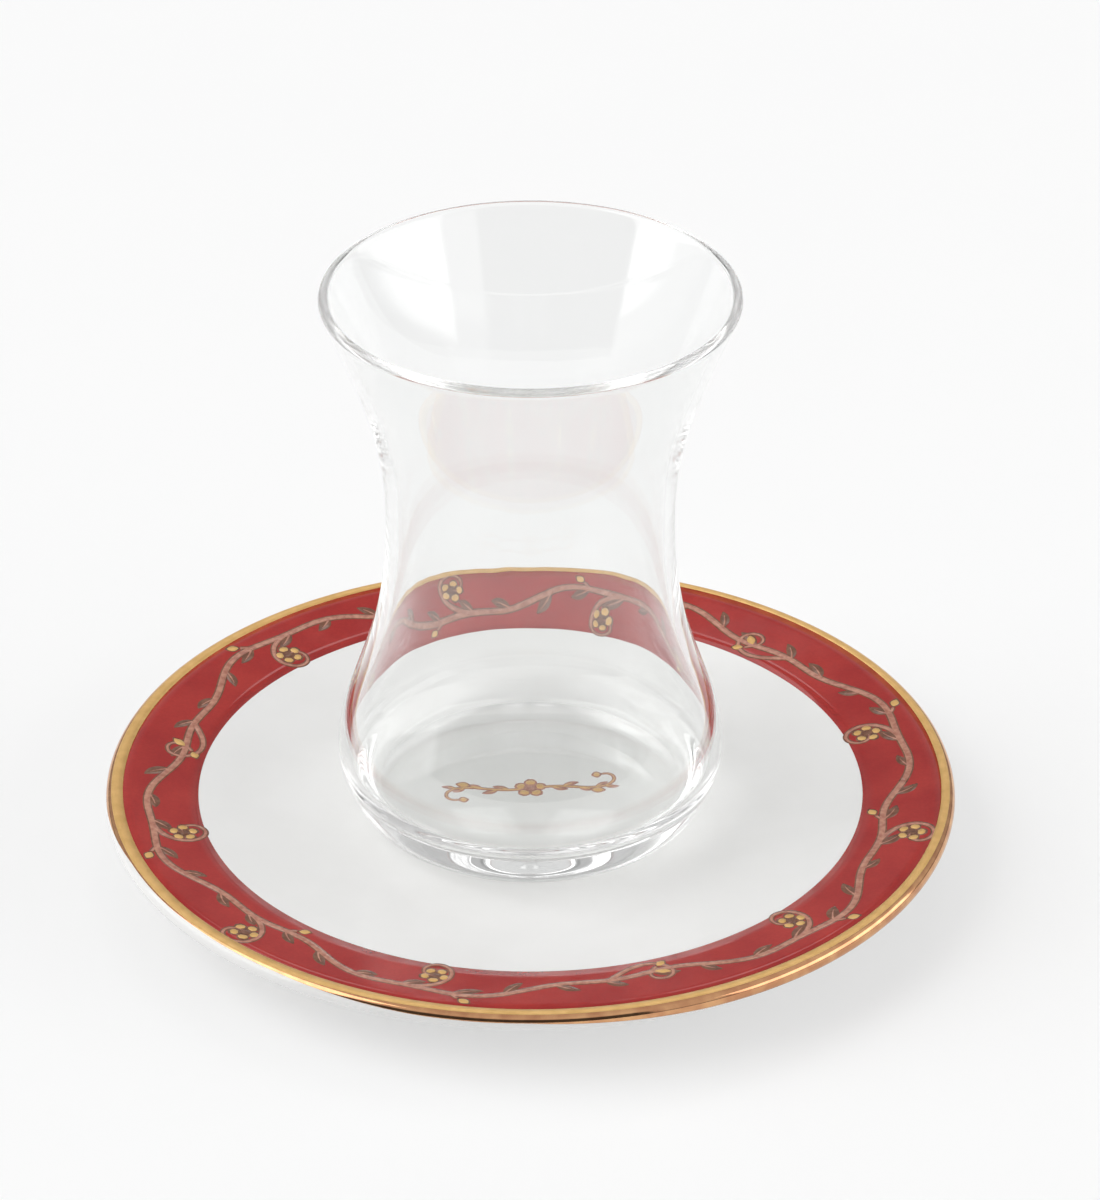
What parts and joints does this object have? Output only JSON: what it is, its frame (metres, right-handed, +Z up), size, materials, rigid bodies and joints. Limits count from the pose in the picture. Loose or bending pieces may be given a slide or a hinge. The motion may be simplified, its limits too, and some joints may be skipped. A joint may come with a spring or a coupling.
{
  "type": "tea glass with saucer",
  "caption": "Empty waisted tea glass of clear glass standing on a low porcelain saucer with a wide red band and a gilded rim.",
  "frame": {"origin": "centre of the saucer's foot ring, on the surface that the part stands on", "axes": "+Z up along the common axis of glass and saucer; X and Y are free, as both pieces are round"},
  "size_m": [0.1324, 0.1324, 0.0965],
  "materials": {
    "clear_glass": "clear pressed glass, fire polished",
    "porcelain": "white glazed porcelain, glossy",
    "red_glaze": "deep red printed band under clear glaze, glossy",
    "gilding": "bright gold line and gilded lip, mirror polished",
    "rose_print": "dusty rose printed scrollwork, glossy",
    "brown_print": "dark brown printed outlines and leaves, glossy"
  },
  "bodies": {
    "root": {"glass": "clear_glass", "saucer": "porcelain"}
  },
  "joints": []
}
